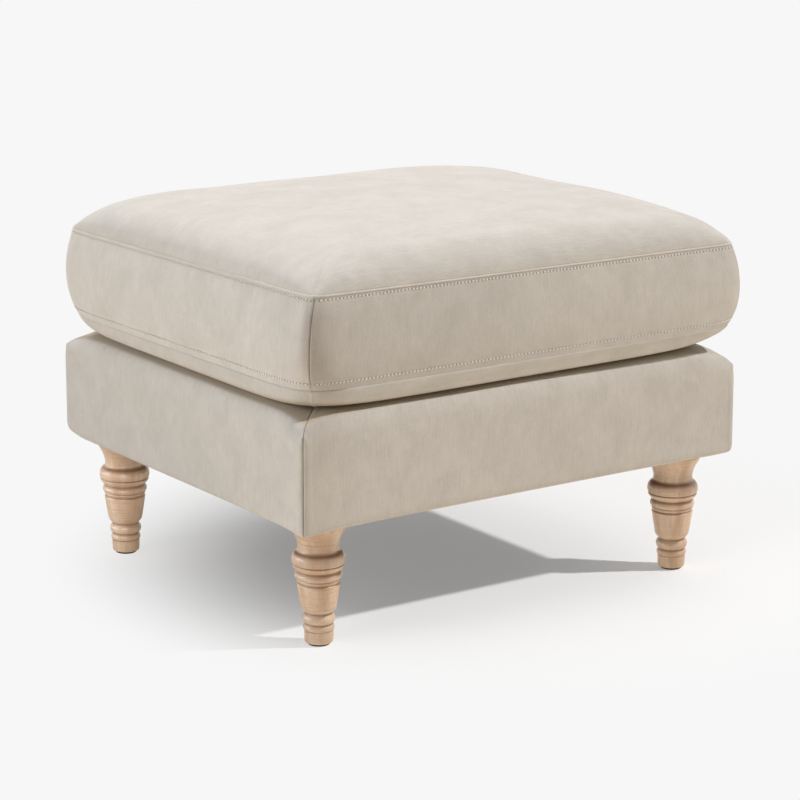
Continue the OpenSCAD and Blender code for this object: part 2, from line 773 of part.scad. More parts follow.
leg(-1, -1);  // leg_front_left
leg(1, -1);  // leg_front_right
leg(-1, 1);  // leg_back_left
leg(1, 1);  // leg_back_right
glide(-1, -1);  // glide_front_left
glide(1, -1);  // glide_front_right
glide(-1, 1);  // glide_back_left
glide(1, 1);  // glide_back_right
hanger_bolts();
tee_nuts();
corner_block(-1, -1);  // corner_block_front_left
corner_block(1, -1);  // corner_block_front_right
corner_block(-1, 1);  // corner_block_back_left
corner_block(1, 1);  // corner_block_back_right
long_rail(-1);  // rail_front
long_rail(1);  // rail_back
short_rail(-1);  // rail_left
short_rail(1);  // rail_right
rail_screws();
block_screws();
spring(1);  // spring_1
spring(2);  // spring_2
spring(3);  // spring_3
spring(4);  // spring_4
spring(5);  // spring_5
spring_clips();
clip_nails();
spring_cloth();
deck_foam();
wadding(0);  // wadding_front
wadding(1);  // wadding_right
wadding(2);  // wadding_back
wadding(3);  // wadding_left
base_cover(0);  // base_cover_front
base_cover(1);  // base_cover_right
base_cover(2);  // base_cover_back
base_cover(3);  // base_cover_left
deck_cloth();
dust_cover();
staples();
cushion_top_panel();
cushion_bottom_panel();
cushion_border(0, 0, border_last);  // cushion_border_front
cushion_border(1, 0, border_last);  // cushion_border_right
cushion_border(3, 0, border_last);  // cushion_border_left
cushion_border(2, 0, slot_low);  // cushion_border_back_lower
cushion_border(2, slot_high, border_last);  // cushion_border_back_upper
foam_core();
fibre_top();
fibre_bottom();
zip_tape();
zip_coil();
zip_end_tabs();
zip_slider();
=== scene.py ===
import math
import random

import bmesh
import bpy
import numpy as np
from mathutils import Matrix, Vector


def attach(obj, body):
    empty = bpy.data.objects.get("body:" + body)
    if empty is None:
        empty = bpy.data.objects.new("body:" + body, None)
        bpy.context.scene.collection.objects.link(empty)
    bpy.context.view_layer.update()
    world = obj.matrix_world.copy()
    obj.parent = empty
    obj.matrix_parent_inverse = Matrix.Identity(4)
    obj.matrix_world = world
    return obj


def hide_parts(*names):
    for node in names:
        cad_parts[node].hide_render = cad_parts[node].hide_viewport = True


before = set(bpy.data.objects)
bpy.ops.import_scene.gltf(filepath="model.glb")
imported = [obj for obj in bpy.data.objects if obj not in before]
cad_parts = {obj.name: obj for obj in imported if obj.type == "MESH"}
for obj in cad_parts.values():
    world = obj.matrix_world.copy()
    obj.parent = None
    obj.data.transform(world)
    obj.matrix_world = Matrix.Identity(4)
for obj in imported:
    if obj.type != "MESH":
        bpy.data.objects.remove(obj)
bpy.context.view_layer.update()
MM = 0.001

# Camera, as solved from the photograph: a long lens that looks down a little, from left of the front

AZIMUTH = math.radians(34.636)
ELEVATION = math.radians(14.479)
DISTANCE = 4.16492
AIM_ALONG_VIEW_RIGHT = 0.004394
AIM_HEIGHT = 0.204142
SENSOR = 36.0
FOCAL_PIXELS = 3387.26
PICTURE_PIXELS = 800


def add_camera():
    right = Vector((math.cos(AZIMUTH), -math.sin(AZIMUTH), 0))
    back = Vector((-math.sin(AZIMUTH) * math.cos(ELEVATION), -math.cos(AZIMUTH) * math.cos(ELEVATION),
                   math.sin(ELEVATION)))
    data = bpy.data.cameras.new("camera")
    data.sensor_width = SENSOR
    data.lens = FOCAL_PIXELS / PICTURE_PIXELS * SENSOR
    data.clip_end = 100
    camera = bpy.data.objects.new("camera", data)
    aim = right * AIM_ALONG_VIEW_RIGHT + Vector((0, 0, AIM_HEIGHT))
    camera.matrix_world = Matrix.Translation(aim + back * DISTANCE) @ Matrix(
        (right, back.cross(right), back)).transposed().to_4x4()
    bpy.context.scene.collection.objects.link(camera)
    bpy.context.scene.camera = camera


# Materials


def linear(red, green, blue):
    """A colour written as it is seen, from 0 to 255, as a shader takes it."""
    return tuple((c / 255 / 12.92 if c / 255 <= 0.04045 else ((c / 255 + 0.055) / 1.055) ** 2.4)
                 for c in (red, green, blue)) + (1.0,)


class Field:
    """A number that varies over a surface. Sums with it are written as in Python."""

    def __init__(self, finish, socket):
        self.finish = finish
        self.socket = socket

    def math(self, operation, *others):
        inputs = dict(enumerate([self, *others]))
        return self.finish.node("ShaderNodeMath", {"operation": operation}, inputs)

    def reflected(self, operation, other):
        return self.finish.node("ShaderNodeMath", {"operation": operation}, {0: other, 1: self})

    def __add__(self, other):
        return self.math("ADD", other)

    def __sub__(self, other):
        return self.math("SUBTRACT", other)

    def __mul__(self, other):
        return self.math("MULTIPLY", other)

    def __rsub__(self, other):
        return self.reflected("SUBTRACT", other)

    __radd__ = __add__
    __rmul__ = __mul__

    def within(self, low, high, to_low=0.0, to_high=1.0):
        """Eased from to_low at low to to_high at high."""
        return self.finish.node("ShaderNodeMapRange", {"interpolation_type": "SMOOTHSTEP"},
                                {"Value": self, "From Min": low, "From Max": high,
                                 "To Min": to_low, "To Max": to_high}, "Result")

    def fading(self, low, high):
        """Eased from 1 at low to 0 at high."""
        return self.within(low, high, 1.0, 0.0)


class Finish:
    """A material under way: its nodes, and the shader that they feed."""

    def __init__(self, name, colour, roughness, **shader):
        self.material = bpy.data.materials.new(name)
        self.material.use_nodes = True
        self.tree = self.material.node_tree
        self.shader = self.tree.nodes["Principled BSDF"]
        self.feed(self.shader, "Base Color", colour)
        self.feed(self.shader, "Roughness", roughness)
        for key, value in shader.items():
            self.feed(self.shader, key.replace("_", " ").title().replace("Ior", "IOR"), value)

    def feed(self, node, key, value):
        target = node.inputs[key]
        if isinstance(value, Field):
            self.tree.links.new(value.socket, target)
        else:
            target.default_value = value

    def node(self, kind, settings=None, inputs=None, output=0):
        made = self.tree.nodes.new(kind)
        for key, value in (settings or {}).items():
            if key == "stops":
                ramp = made.color_ramp.elements
                while len(ramp) < len(value):
                    ramp.new(1)
                for element, (place, colour) in zip(ramp, value):
                    element.position = place
                    element.color = colour
            else:
                setattr(made, key, value)
        for key, value in (inputs or {}).items():
            self.feed(made, key, value)
        return Field(self, made.outputs[output])

    def object_place(self, scale=(1, 1, 1)):
        place = self.node("ShaderNodeTexCoord", output="Object")
        return self.node("ShaderNodeMapping", None, {"Vector": place, "Scale": scale})

    def cloth_place(self, scale=(1, 1, 1)):
        place = self.node("ShaderNodeUVMap", {"uv_map": CLOTH_MAP})
        return self.node("ShaderNodeMapping", None, {"Vector": place, "Scale": scale})

    def noise(self, scale, detail, roughness, distortion=0.0, on_cloth=False):
        place = self.cloth_place(scale) if on_cloth else self.object_place(scale)
        return self.node("ShaderNodeTexNoise", None, {
            "Vector": place, "Scale": 1.0, "Detail": detail, "Roughness": roughness,
            "Distortion": distortion})

    def parts(self, place):
        """The X, Y and Z of a vector, each as a number."""
        split = self.node("ShaderNodeSeparateXYZ", None, {0: place})
        return [Field(self, socket) for socket in split.socket.node.outputs]

    def object_parts(self):
        return self.parts(self.node("ShaderNodeTexCoord", output="Object"))

    def mix(self, factor, first, second):
        return self.node("ShaderNodeMix", {"data_type": "RGBA"}, {0: factor, 6: first, 7: second}, 2)

    def shade(self, colour, factor):
        """The colour times a grey factor."""
        grey = self.node("ShaderNodeCombineXYZ", None, {0: factor, 1: factor, 2: factor})
        return self.node("ShaderNodeVectorMath", {"operation": "MULTIPLY"}, {0: colour, 1: grey})

    def colour(self, colour):
        self.feed(self.shader, "Base Color", colour)

    def bump(self, height, distance):
        made = self.node("ShaderNodeBump", None, {"Height": height, "Distance": distance, "Strength": 1.0})
        self.feed(self.shader, "Normal", made)


# Shapes of the stool, in millimetres. A mesh is made in metres

BASE_HALF = (312.5, 270.0)
UNDERSIDE = 150.0
WALL_TOP = 260.0
BASE_CORNER = 7.0
HEM_WIDTH = 28.0
HEM_ROUND = 6.0
# Cloth of a base cover that stays out of sight under the rail, from its cut edge
HEM_HIDDEN = 30.0
# How much rounder and how much lower the hem is at its corners
HEM_CORNERS = {(-1, -1): (-2.5, 4.2), (-1, 1): (7.0, 0.0), (1, -1): (2.5, 2.2), (1, 1): (2.0, 0.0)}
BASE_FULLER = 2.0
# How much lower the base's upper edge lies at its right and left front corners, and how far that reaches
EDGE_LOWER = {1: (8, 36), -1: (4, 26)}
DECK_RISE = 24.0
DECK_BORDER = 75.0
# A shoulder: the width of its round edge, the share of the height it takes, and the run of the slow rise
DECK_SHOULDER = (10, 0.73, 40)
CROWN_SHOULDER = (47.5, 0.64, 147.7)
# Share of the deck's rise that is lost at every corner, and its run
DECK_CORNER_LOST, DECK_CORNER_RUN = 0.45, 60
# Two more hollows of the deck: middle, reach along X and Y, and the share of the rise lost there
DECK_HOLLOWS = (((BASE_HALF[0], -195), (45, 88), 0.28), ((-BASE_HALF[0], BASE_HALF[1]), (60, 60), 0.1))
FOAM_LOW = 240.8
FOAM_INSIDE = 3.4
FOAM_SQUARE = 30
LEG_X, LEG_Y = 260, 220
CLOTH = 1.2
CUSHION_OVER_DECK = 0.4

REST_HALF = (283.0, 240.0)
FOLD_HALF = (308.0, 266.1)
FULL_HALF = (311.8, 269.1)
SEAM_HALF = (306.3, 264.5)
FOLD_Z = 309.4
FULL_Z = 384.8
SEAM_Z = 411.0
BORDER_HIGH = SEAM_Z - FOLD_Z
CROWN = 48.5
# How square the outline is: 2 is an ellipse
REST_SQUARE = 5.0
FOLD_SQUARE = 12.9
SEAM_SQUARE = 38.3
MIDDLE_SQUARE = 6.0

# Where use has moved the cushion's corners, at its seam and at its fold
SEAM_MOVED = {(-1, -1): (12.2, -0.4, 9.0), (-1, 1): (-1.5, 0.0, 1.5),
              (1, -1): (4.7, -5.7, -1.1), (1, 1): (-3.1, 0.0, -10.6)}
FOLD_MOVED = {(-1, -1): (3.2, 0.8, 1.2), (-1, 1): (-9.2, 0.0, -1.1),
              (1, -1): (14.4, -11.0, -0.1), (1, 1): (0.5, 0.0, 0.0)}
BACK_PULLED_IN = 0.9
# Below this height the deck holds the cushion still
STILL_Z = 282.0
# Shares of the border's height that stay level and that move at the back, where the zip runs
BACK_STILL, BACK_MOVES = 0.55, 0.45
# Share of the underside that lies flat, how full its roll is, where 2 is round, and how far it is tucked in
ROLL_FROM, ROLL_FULL, ROLL_TUCK = 0.86, 3.1, 3
# The underside is turned up at its right front corner: how far, from where, and over what run
TURNED_UP, TURNED_FROM, TURNED_RUN = 4, (225, 165), 80
FILLING_INSIDE = 3

ROW_UNDER_SEAM = 3.9
ROW_OVER_FOLD = 7.9
STITCH_PITCH = 5.0
STITCH_LENGTH, STITCH_THICK = 3.7, 1.35
STITCH_SLANT = math.radians(28)
ZIP_HALF = 240.0
ZIP_LOW, ZIP_HIGH = 357.5, 363.5
# Half the back border's width at the zip, before its corners settle
ZIP_BORDER_HALF = 311

SIDES = ("front", "right", "back", "left")
CLOTH_MAP = "cloth"
RIB_PITCH = 0.0023
# Share of a side over which the slope of a surface is taken
SMALL_STEP = 1e-4


def between(low, high, share):
    return low + (high - low) * share


def eased(value):
    value = np.clip(value, 0, 1)
    return value * value * (3 - 2 * value)


def groove(distance, width):
    return np.exp(-(distance / width) ** 2)


def marks(count, lean, low=-1.0, high=1.0):
    """Marks from low to high, closer together towards both ends."""
    even = np.linspace(-1, 1, count + 1)
    near_ends = np.sign(even) * (1 - (1 - np.abs(even)) ** lean)
    return between(low, high, (near_ends + 1) / 2)


def unevenness(seed, count, shortest, longest):
    """Gentle hills and hollows between -1 and 1, as a function of two lengths."""
    dice = random.Random(seed)
    waves = [(dice.uniform(0, math.tau), math.tau / dice.uniform(shortest, longest),
              dice.uniform(0, math.tau)) for _ in range(count)]

    def height(x, y=0.0):
        total = sum(np.sin((x * math.cos(turn) + y * math.sin(turn)) * rate + start)
                    for turn, rate, start in waves)
        return total / math.sqrt(2 * count)
    return height


def turned(side, along, out):
    """A point of the front, given by its place along it and its distance out, turned to one of the sides."""
    quarter = SIDES.index(side)
    return ((along, -out), (out, along), (-along, out), (-out, -along))[quarter]


def base_outline(side, along, inset):
    """Base outline moved in by inset. along runs from -1 at the middle of one corner to 1 at the next."""
    long, out = BASE_HALF if side in ("front", "back") else BASE_HALF[::-1]
    flat = long - inset - BASE_CORNER
    run = along * (flat + BASE_CORNER * math.pi / 4)
    turn = np.clip(np.abs(run) - flat, 0, None) / BASE_CORNER
    reach = np.sign(run) * (np.minimum(np.abs(run), flat) + BASE_CORNER * np.sin(turn))
    return turned(side, reach, out - inset - BASE_CORNER + BASE_CORNER * np.cos(turn))


def from_edges(x, y, half):
    """Distances to the nearer and to the farther pair of a rectangle's edges."""
    across, deep = half[0] - np.abs(x), half[1] - np.abs(y)
    return np.minimum(across, deep), np.maximum(across, deep)


def ring_of(u, v):
    """Which ring of a square a point lies on, from 0 in its middle to 1 on its edge."""
    return np.maximum(np.maximum(np.abs(u), np.abs(v)), 1e-6)


def rise(distance, edge, share, run):
    """Share of its full height that a padded shoulder has at a distance from its side."""
    near = 1 - np.clip(distance / edge, 0, 1)
    far = 1 - np.clip(distance / run, 0, 1)
    return share * np.sqrt(1 - near ** 2) + (1 - share) * (1 - far ** 2)


def edge_lower(x, y):
    """How much lower the side ends, and the shoulder starts, towards the two front corners."""
    return sum(depth * groove(np.hypot(BASE_HALF[0] - end * x, BASE_HALF[1] + y), reach)
               for end, (depth, reach) in EDGE_LOWER.items())


def deck_height(x, y):
    """Padded deck: a short shoulder at the side, then a slow rise, lower towards the corners."""
    from_side, from_other = from_edges(x, y, BASE_HALF)
    drop = DECK_CORNER_LOST * (1 - np.clip(from_other / DECK_CORNER_RUN, 0, 1)) ** 1.5
    for middle, reach, lost in DECK_HOLLOWS:
        drop = drop + lost * np.exp(-((x - middle[0]) / reach[0]) ** 2 - ((y - middle[1]) / reach[1]) ** 2)
    lower = edge_lower(x, y)
    return WALL_TOP - lower + (DECK_RISE * (1 - drop) + lower) * rise(from_side, *DECK_SHOULDER)


def run_along(points):
    """How far along a line of points each of them lies."""
    return np.concatenate([[0], np.cumsum(np.linalg.norm(np.diff(points, axis=0), axis=1))])


def outline(u, v, half, square):
    """Where the direction to a point on a square's edge meets a rounded rectangle."""
    most = np.maximum(np.maximum(np.abs(u), np.abs(v)), 1e-9)
    pull = most * (1 + (np.minimum(np.abs(u), np.abs(v)) / most) ** square) ** (1 / square)
    return half[0] * u / pull, half[1] * v / pull


def spread(u, v, half, square):
    """Points of a square from -1 to 1 spread over a rounded rectangle."""
    ring = ring_of(u, v)
    return outline(u / ring, v / ring, (half[0] * ring, half[1] * ring), square)


def through(share, at, low, middle, high):
    """Smooth curve from low at 0 to high at 1, through middle at the given share."""
    return (low * (share - at) * (share - 1) / at + middle * share * (share - 1) / (at * (at - 1))
            + high * share * (share - at) / (1 - at))


def settled(x, y, z):
    """Cushion points moved as its corners have settled in use."""
    across = np.clip(x / BASE_HALF[0], -1, 1)
    deep = np.clip(y / BASE_HALF[1], -1, 1)
    up = np.clip((z - FOLD_Z) / BORDER_HIGH, 0, 1)
    low = np.clip((z - STILL_Z) / (FOLD_Z - STILL_Z), 0, 1)
    point = np.stack([x, y - BACK_PULLED_IN * np.clip(deep, 0, 1), z], -1)
    for corner, at_seam in SEAM_MOVED.items():
        weight = (1 + corner[0] * across) * (1 + corner[1] * deep) / 4
        at_fold = FOLD_MOVED[corner]
        for axis in range(3):
            share = up
            if corner[1] > 0 and axis == 2:
                share = np.clip((up - BACK_STILL) / BACK_MOVES, 0, 1)
            point[..., axis] += weight * between(at_fold[axis] * low, at_seam[axis], share)
    return point


def border(side, along, up):
    """Cushion border: along from -1 to 1 between its corners, up from 0 at the fold to 1 at the seam."""
    full = (FULL_Z - FOLD_Z) / BORDER_HIGH
    half = [through(up, full, *sizes) for sizes in zip(FOLD_HALF, FULL_HALF, SEAM_HALF)]
    u, v = turned(side, along, np.ones_like(along))
    x, y = outline(u, v, half, between(FOLD_SQUARE, SEAM_SQUARE, up))
    return settled(x, y, between(FOLD_Z, SEAM_Z, up) + 0 * x)


def crown(u, v):
    """Top of the cushion over a square from -1 to 1."""
    ring = ring_of(u, v)
    square = between(SEAM_SQUARE, MIDDLE_SQUARE, np.clip((1 - ring) / 0.5, 0, 1))
    x, y = spread(u, v, SEAM_HALF, square)
    rim_x, rim_y = outline(u / ring, v / ring, SEAM_HALF, SEAM_SQUARE)
    near, far = from_edges(x, y, SEAM_HALF)
    rim, _ = from_edges(rim_x, rim_y, SEAM_HALF)
    height = CROWN * rise(near - rim * ring, *CROWN_SHOULDER) * rise(far, *CROWN_SHOULDER)
    return settled(x, y, SEAM_Z + height)


def roll(u, v):
    """Underside of the cushion over a square from -1 to 1. It lies on the deck and rolls up to the fold."""
    ring = ring_of(u, v)
    share = np.clip((ring - ROLL_FROM) / (1 - ROLL_FROM), 0, 1)
    inner = np.clip(ring / ROLL_FROM, 0, 1)
    down = np.cos(share * math.pi / 2) ** (2 / ROLL_FULL)
    outwards = np.sin(share * math.pi / 2) ** (2 / ROLL_FULL)
    half = [between(rest * inner, fold, outwards) - ROLL_TUCK * down * (1 - down)
            for rest, fold in zip(REST_HALF, FOLD_HALF)]
    x, y = outline(u / ring, v / ring, half, between(REST_SQUARE, FOLD_SQUARE, share))
    turned_up = (TURNED_UP * eased((x - TURNED_FROM[0]) / TURNED_RUN)
                 * eased((-y - TURNED_FROM[1]) / TURNED_RUN))
    under = WALL_TOP + DECK_RISE + CUSHION_OVER_DECK + turned_up
    return settled(x, y, between(under, FOLD_Z, 1 - down))


def raised(place, u, v, height):
    """Points of a surface moved out along its normal."""
    point = place(u, v)
    out = np.cross(place(u + SMALL_STEP, v) - place(u - SMALL_STEP, v),
                   place(u, v + SMALL_STEP) - place(u, v - SMALL_STEP))
    return point + out / np.maximum(np.linalg.norm(out, axis=-1, keepdims=True), 1e-12) * height[..., None]


# Meshes


def mesh_of(bm, name):
    """The mesh made from a bmesh, which is freed."""
    mesh = bpy.data.meshes.new(name)
    bm.to_mesh(mesh)
    bm.free()
    return mesh


def finished(name, mesh, finish, body, *nodes):
    mesh.polygons.foreach_set("use_smooth", [True] * len(mesh.polygons))
    piece = bpy.data.objects.new(name, mesh)
    bpy.context.scene.collection.objects.link(piece)
    mesh.materials.append(finish)
    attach(piece, body)
    if nodes:
        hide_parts(*nodes)
    return piece


def cut_lengths(points):
    """Where each point of a grid lies on the cloth it is cut from, by its middle row and column."""
    row = points[points.shape[0] // 2]
    column = points[:, points.shape[1] // 2]
    over = [run_along(line) for line in (row, column)]
    return np.stack(np.meshgrid(over[0] - over[0][-1] / 2, over[1]), -1)


def grid_mesh(name, points, ribs_across=False, ring=False, cloth=None):
    """Mesh of rows of points. Its cloth map is in metres, with the ribs of the cloth along V."""
    rows, columns = points.shape[:2]
    bm = bmesh.new()
    bmesh.ops.create_grid(bm, x_segments=columns - 1, y_segments=rows - 1, size=0.5)
    mesh = mesh_of(bm, name)
    flat = np.empty(len(mesh.vertices) * 3, np.float32)
    mesh.vertices.foreach_get("co", flat)
    flat = flat.reshape(-1, 3)
    column = np.rint((flat[:, 0] + 0.5) * (columns - 1)).astype(int)
    row = np.rint((flat[:, 1] + 0.5) * (rows - 1)).astype(int)
    mesh.vertices.foreach_set("co", (points[row, column] * MM).astype(np.float32).ravel())
    cloth = (cut_lengths(points) if cloth is None else cloth)[row, column] * MM
    if ribs_across:
        cloth = cloth[:, ::-1]
    corner = np.empty(len(mesh.loops), np.int32)
    mesh.loops.foreach_get("vertex_index", corner)
    mesh.uv_layers.new(name=CLOTH_MAP).data.foreach_set("uv", cloth[corner].astype(np.float32).ravel())
    if ring:
        bm = bmesh.new()
        bm.from_mesh(mesh)
        bmesh.ops.remove_doubles(bm, verts=bm.verts, dist=1e-6)
        bmesh.ops.recalc_face_normals(bm, faces=bm.faces)
        bm.to_mesh(mesh)
        bm.free()
    mesh.update()
    return mesh


def panel(name, points, finish, body, *nodes, ribs_across=False, cut=None):
    """A cut panel of cloth, with its thickness behind its outer face."""
    piece = finished(name, grid_mesh(name, points, ribs_across, cloth=cut), finish, body, *nodes)
    solid = piece.modifiers.new("cloth thickness", "SOLIDIFY")
    solid.thickness = CLOTH * MM
    solid.offset = -1
    return piece


def repeated(name, shape, places):
    """One mesh of many copies of a small shape, each put in its place."""
    bm = bmesh.new()
    for _ in places:
        bm.from_mesh(shape)
    mesh = mesh_of(bm, name)
    points = np.empty(len(mesh.vertices) * 3, np.float32)
    mesh.vertices.foreach_get("co", points)
    points = points.reshape(len(places), -1, 3)
    moves = np.array([[list(row) for row in place] for place in places])
    points = np.einsum("nij,nvj->nvi", moves[:, :3, :3], points) + moves[:, None, :3, 3]
    mesh.vertices.foreach_set("co", points.astype(np.float32).ravel())
    mesh.update()
    return mesh


def solid_between(name, upper, lower, finish, body, *nodes):
    """A closed filling between two grids of the same size, one over the other."""
    bm = bmesh.new()
    for points, flip in ((upper, False), (lower, True)):
        part = bmesh.new()
        part.from_mesh(grid_mesh("half", points))
        if flip:
            bmesh.ops.reverse_faces(part, faces=part.faces)
        bm.from_mesh(mesh_of(part, "half"))
    rims = [edge for edge in bm.edges if edge.is_boundary]
    bmesh.ops.bridge_loops(bm, edges=rims)
    bmesh.ops.recalc_face_normals(bm, faces=bm.faces)
    return finished(name, mesh_of(bm, name), finish, body, *nodes)


# Finishes


def needle_dents_and_shade(finish):
    """1 in the dents between the stitches of the border's two rows, 0 elsewhere. It dents the cloth and
    darkens the dents with painted shade.
    """
    run, rise_up, _ = finish.parts(finish.node("ShaderNodeUVMap", {"uv_map": CLOTH_MAP}))
    from_gap = ((run * (1000 / STITCH_PITCH)).math("FRACT") - 0.5).math("ABSOLUTE")
    near_gap = from_gap.fading(0.12, 0.3)
    rows = [(rise_up * 1000 - row).math("ABSOLUTE").fading(0.5, 1.3)
            for row in (ROW_OVER_FOLD, BORDER_HIGH - ROW_UNDER_SEAM)]
    return near_gap * (rows[0] + rows[1])


# Colour of the painted shade on the fronts beside the near corner seams
PAINTED_SHADE_BESIDE_CORNER = (172, 157, 146)
# Colour of the painted shade on the base's cloth in the gap under the cushion
PAINTED_SHADE_UNDER_CUSHION = (192, 178, 156)


def on_fronts(deep):
    """1 on the fronts of base and cushion, from the Y of a point."""
    return deep.fading(-0.262, -0.25)


def shade_beside_near_corner(finish):
    """1 on the fronts beside the near corner seams, where painted shade darkens the cloth."""
    across, deep, high = finish.object_parts()
    beside = across.fading(-0.3, -0.235)
    right = across.within(-0.312, -0.304)
    return on_fronts(deep) * beside * right * high.fading(0.395, 0.415) * high.within(0.2, 0.32, 0.45, 1.0)


def shade_under_cushion(finish):
    """1 on the base's cloth in the gap under the cushion, which painted shade darkens and browns."""
    across, deep, high = finish.object_parts()
    inside = across.math("ABSOLUTE").fading(0.298, 0.307) * across.fading(0.255, 0.285)
    inside = inside * deep.math("ABSOLUTE").fading(0.254, 0.264)
    return inside * high.within(0.262, 0.27) * high.fading(0.288, 0.3)


def corner_seam_shade(finish):
    """1 in the seams where two covers of the base meet, darkened with painted shade."""
    across, deep, high = finish.object_parts()
    diagonal = (BASE_HALF[0] - BASE_HALF[1]) * MM
    from_seam = (across.math("ABSOLUTE") - deep.math("ABSOLUTE") - diagonal).math("ABSOLUTE")
    return from_seam.fading(0.0003, 0.0012) * high.fading(0.27, 0.28)


def border_painted_light(finish):
    """Painted light on the border: painted shade on the front's left half, painted light on the left side.
    """
    across, deep, _ = finish.object_parts()
    front_left = on_fronts(deep) * across.fading(-0.06, 0.04)
    left = across.fading(-0.304, -0.296) * deep.within(-0.25, -0.19)
    return 1 - front_left * 0.08 + left * 0.07


def upholstery_finish(name, stitched=False, tints=((203, 196, 184.5), (207, 199.5, 188.5))):
    finish = Finish(name, linear(205, 197, 186), 0.92, specular_ior_level=0.2,
                    sheen_weight=0.08, sheen_roughness=0.6)
    rib = finish.node("ShaderNodeTexWave", {"wave_type": "BANDS", "bands_direction": "X"}, {
        "Vector": finish.cloth_place(), "Scale": 0.314 / RIB_PITCH, "Distortion": 4.0, "Detail": 3.0,
        "Detail Scale": 1.5, "Detail Roughness": 0.6}, "Fac")
    weft = finish.noise((380, 620, 1), 2, 0.6, on_cloth=True)
    slubs = finish.noise((420, 40, 1), 2, 0.6, on_cloth=True)
    mottle = finish.noise((95, 75, 1), 3, 0.6, on_cloth=True)
    patches = finish.noise((22, 18, 1), 3, 0.55, 0.5, on_cloth=True)
    tint = finish.mix(patches.within(0.3, 0.7), linear(*tints[0]), linear(*tints[1]))
    # Painted shade beside the near corner seams
    tint = finish.mix(shade_beside_near_corner(finish) * 0.42, tint, linear(*PAINTED_SHADE_BESIDE_CORNER))
    grain = ((rib - 0.5) * 0.035 + (weft - 0.5) * 0.24 + (slubs - 0.5) * 0.17 + (mottle - 0.5) * 0.14
             + (patches - 0.5) * 0.13 + 1.0)
    height = rib * 0.12 + weft * 0.3 + slubs * 0.2
    if stitched:
        # Dents between the stitches, darkened with painted shade
        dents_and_shade = needle_dents_and_shade(finish)
        # Painted shade on the front's left half and painted light on the left side of the border
        grain = grain * border_painted_light(finish) * (1 - dents_and_shade * 0.24)
        height = height - dents_and_shade
    else:
        # Painted shade, browner, under the cushion
        tint = finish.mix(shade_under_cushion(finish), tint, linear(*PAINTED_SHADE_UNDER_CUSHION))
        # Painted shade in the base's corner seams
        grain = grain * (1 - corner_seam_shade(finish) * 0.5)
    finish.colour(finish.shade(tint, grain))
    finish.bump(height, 0.0005)
    return finish.material


def thread_finish():
    finish = Finish("sewing thread", linear(244, 240, 230), 0.6)
    ply = finish.node("ShaderNodeTexWave", {"wave_type": "BANDS", "bands_direction": "DIAGONAL"},
                      {"Vector": finish.object_place(), "Scale": 900.0, "Distortion": 1.0}, "Fac")
    finish.colour(finish.mix(ply, linear(232, 226, 214), linear(252, 248, 240)))
    return finish.material


LEG_HEIGHT = 150.0
# Heights and reach of the dark lines between the turnings, partly glazing left in the grooves and partly
# painted shade, and the heights of the crests that carry a painted highlight
GROOVE_GLAZING_AND_SHADE = ((17.6, 1), (25.5, 1.7), (38.6, 1.8), (74.8, 1.6), (79.4, 0.7), (88.6, 1.9), (97.2, 1.2),
                (111.4, 3.8))
CREST_PAINTED_HIGHLIGHTS = (31.8, 72, 83.8, 94.6, 103)
# What the glazing, the painted shade and the painted highlight do to the colour of the wood
GLAZE_CLEAR, PAINTED_HIGHLIGHT, GLAZING_AND_SHADE_DARK = (1, 1, 1, 1), (1.08, 1.08, 1.08, 1), (0.44, 0.29, 0.18, 1)


def turned_wood_finish():
    finish = Finish("turned oak", linear(196, 168, 142), 0.42, coat_weight=0.6, coat_roughness=0.16)
    grain = finish.noise((260, 260, 14), 4, 0.6, 0.4)
    pores = finish.noise((900, 900, 40), 2, 0.7)
    broad = finish.noise((40, 40, 4), 3, 0.5, 0.8)
    tone = finish.mix(broad.within(0.35, 0.65), linear(205, 172, 142), linear(223, 196, 168))
    turning = finish.noise((24, 24, 560), 3, 0.65)
    tone = finish.shade(tone, (grain - 0.5) * 0.4 + (turning - 0.5) * 0.4 + 1.0)
    tone = finish.mix(turning.within(0.5, 0.72, 0, 0.55), tone, linear(168, 122, 84))
    tone = finish.mix(pores.within(0.6, 0.75, 0, 0.5), tone, linear(132, 102, 76))
    # Painted highlight on the crests; glazing and painted shade in the grooves
    stops = [(0, GLAZE_CLEAR)] + [(height, PAINTED_HIGHLIGHT) for height in CREST_PAINTED_HIGHLIGHTS]
    for height, reach in GROOVE_GLAZING_AND_SHADE:
        stops += [(height - reach, GLAZE_CLEAR), (height, GLAZING_AND_SHADE_DARK), (height + reach, GLAZE_CLEAR)]
    stops = [(height / LEG_HEIGHT, shade) for height, shade in sorted(stops)]
    _, _, high = finish.object_parts()
    glazing_and_painted_light = finish.node("ShaderNodeValToRGB", {"stops": stops}, {0: high * (1000 / LEG_HEIGHT)})
    finish.colour(finish.node("ShaderNodeVectorMath", {"operation": "MULTIPLY"}, {0: tone, 1: glazing_and_painted_light}))
    finish.feed(finish.shader, "Roughness", grain.within(0.3, 0.7, 0.36, 0.5))
    finish.bump(grain * 0.5 + turning * 0.3 - pores.within(0.6, 0.75) * 0.5, 0.0002)
    return finish.material


def frame_wood_finish():
    finish = Finish("frame softwood", linear(201, 176, 140), 0.65)
    grain = finish.node("ShaderNodeTexWave", {"wave_type": "BANDS", "bands_direction": "Z"},
                        {"Vector": finish.object_place((14, 14, 120)), "Scale": 1.0, "Distortion": 5.0,
                         "Detail": 3.0}, "Fac")
    fine = finish.noise((30, 30, 600), 3, 0.6)
    finish.colour(finish.shade(finish.mix(grain, linear(214, 188, 150), linear(186, 152, 110)),
                               (fine - 0.5) * 0.3 + 1.0))
    finish.bump(grain * 0.4 + fine * 0.6, 0.0003)
    return finish.material


